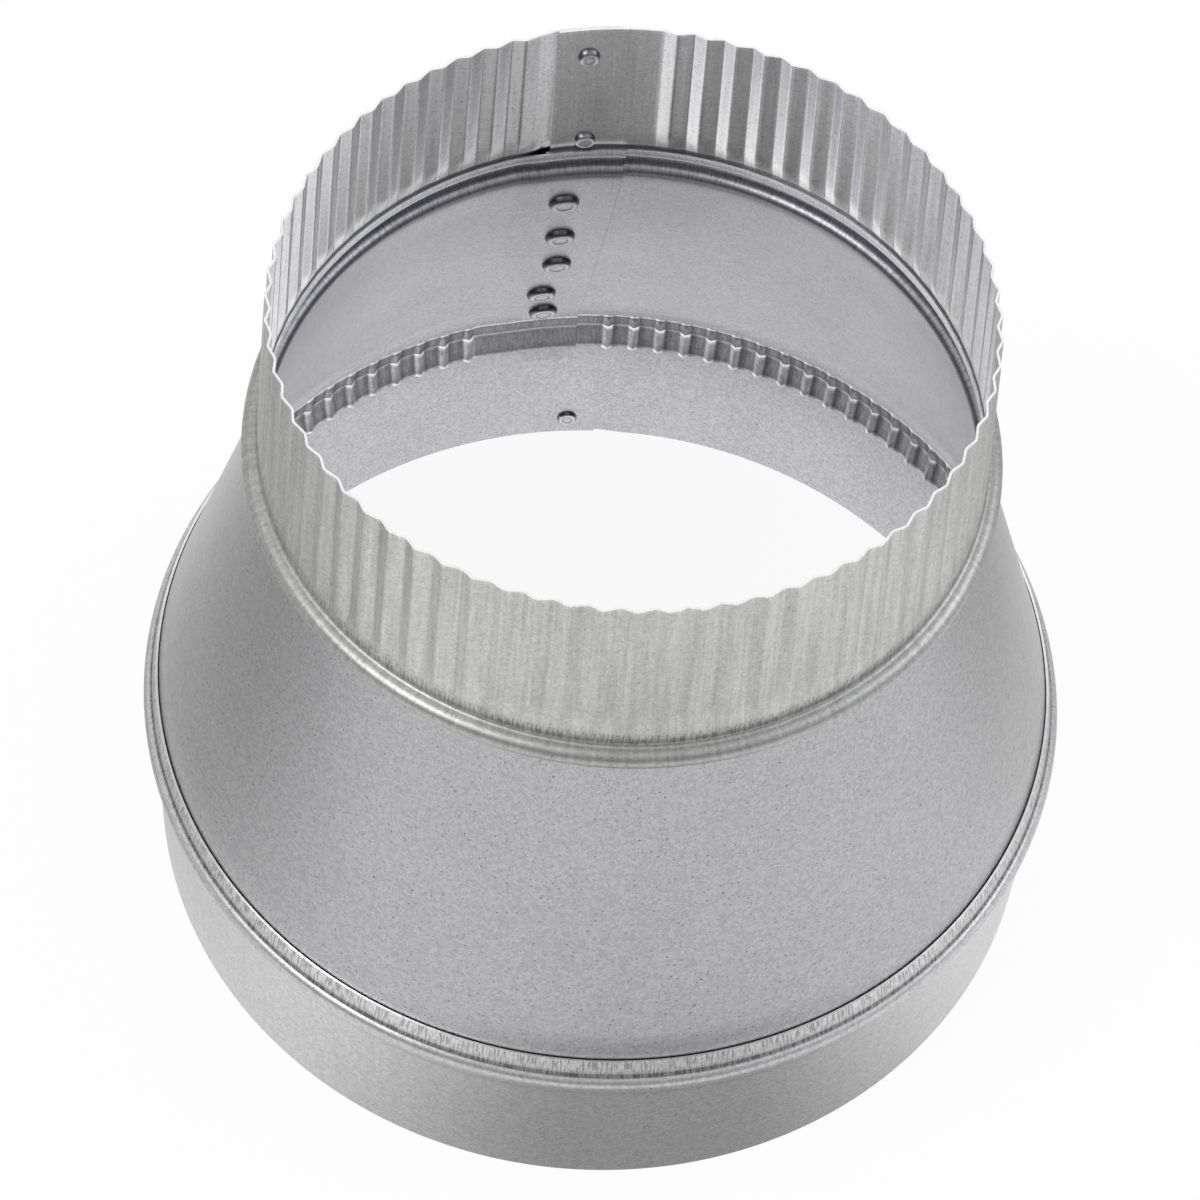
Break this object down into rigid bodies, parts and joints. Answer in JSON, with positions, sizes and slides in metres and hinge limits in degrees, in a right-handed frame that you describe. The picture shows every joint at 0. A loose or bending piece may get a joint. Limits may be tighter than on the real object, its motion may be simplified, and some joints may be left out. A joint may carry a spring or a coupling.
{
  "type": "duct reducer",
  "caption": "Round sheet-metal duct reducer: a plain collar, a cone and a crimped collar, beaded together, that joins a larger round duct to a smaller one.",
  "frame": {"origin": "centre of the large end's rim, on the axis", "axes": "+Z along the axis from the large end to the small end; +Y towards the lap seams"},
  "size_m": [0.2082, 0.2084, 0.182],
  "materials": {
    "collar_sheet": "hot-dip galvanized sheet, light grey, fine spangle",
    "cone_sheet": "hot-dip galvanized sheet, mid grey, fine speckle",
    "crimped_sheet": "hot-dip galvanized sheet, bright where the crimping rolls rubbed it"
  },
  "bodies": {
    "root": {"plain_collar": "collar_sheet", "cone": "cone_sheet", "crimped_collar": "crimped_sheet"}
  },
  "joints": []
}
